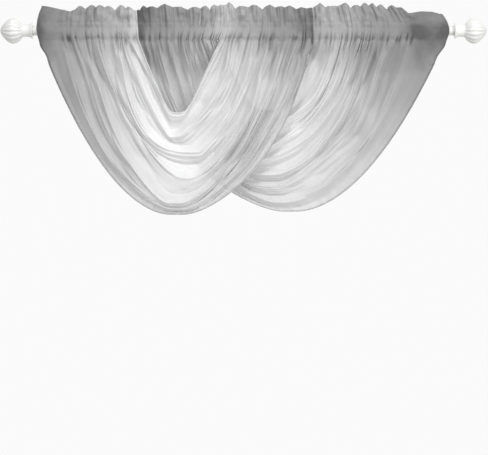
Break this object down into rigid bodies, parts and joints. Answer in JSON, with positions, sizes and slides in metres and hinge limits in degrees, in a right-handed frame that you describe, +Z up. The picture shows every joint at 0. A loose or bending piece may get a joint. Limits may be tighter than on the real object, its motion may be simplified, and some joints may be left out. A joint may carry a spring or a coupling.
{
  "type": "waterfall valance on a curtain rod",
  "caption": "Sheer waterfall valance: gathered swags with ruffled headings, threaded in turn on a round rod with fluted ball finials.",
  "frame": {"origin": "on the rod's axis, half way along it", "axes": "+X along the rod, to the right as seen from the room; +Z up; -Y towards the room"},
  "size_m": [1.338, 0.0784, 0.5831],
  "materials": {
    "front_voile": "sheer voile, dark grey at both pockets fading to white at the middle",
    "back_voile": "sheer voile, dark grey at both pockets fading to white at the middle",
    "rod_enamel": "white gloss enamel",
    "finial_enamel": "white gloss enamel"
  },
  "bodies": {
    "root": {"front_swag": "front_voile", "back_swag": "back_voile", "rod": "rod_enamel", "finial_left": "finial_enamel", "finial_right": "finial_enamel"}
  },
  "joints": []
}
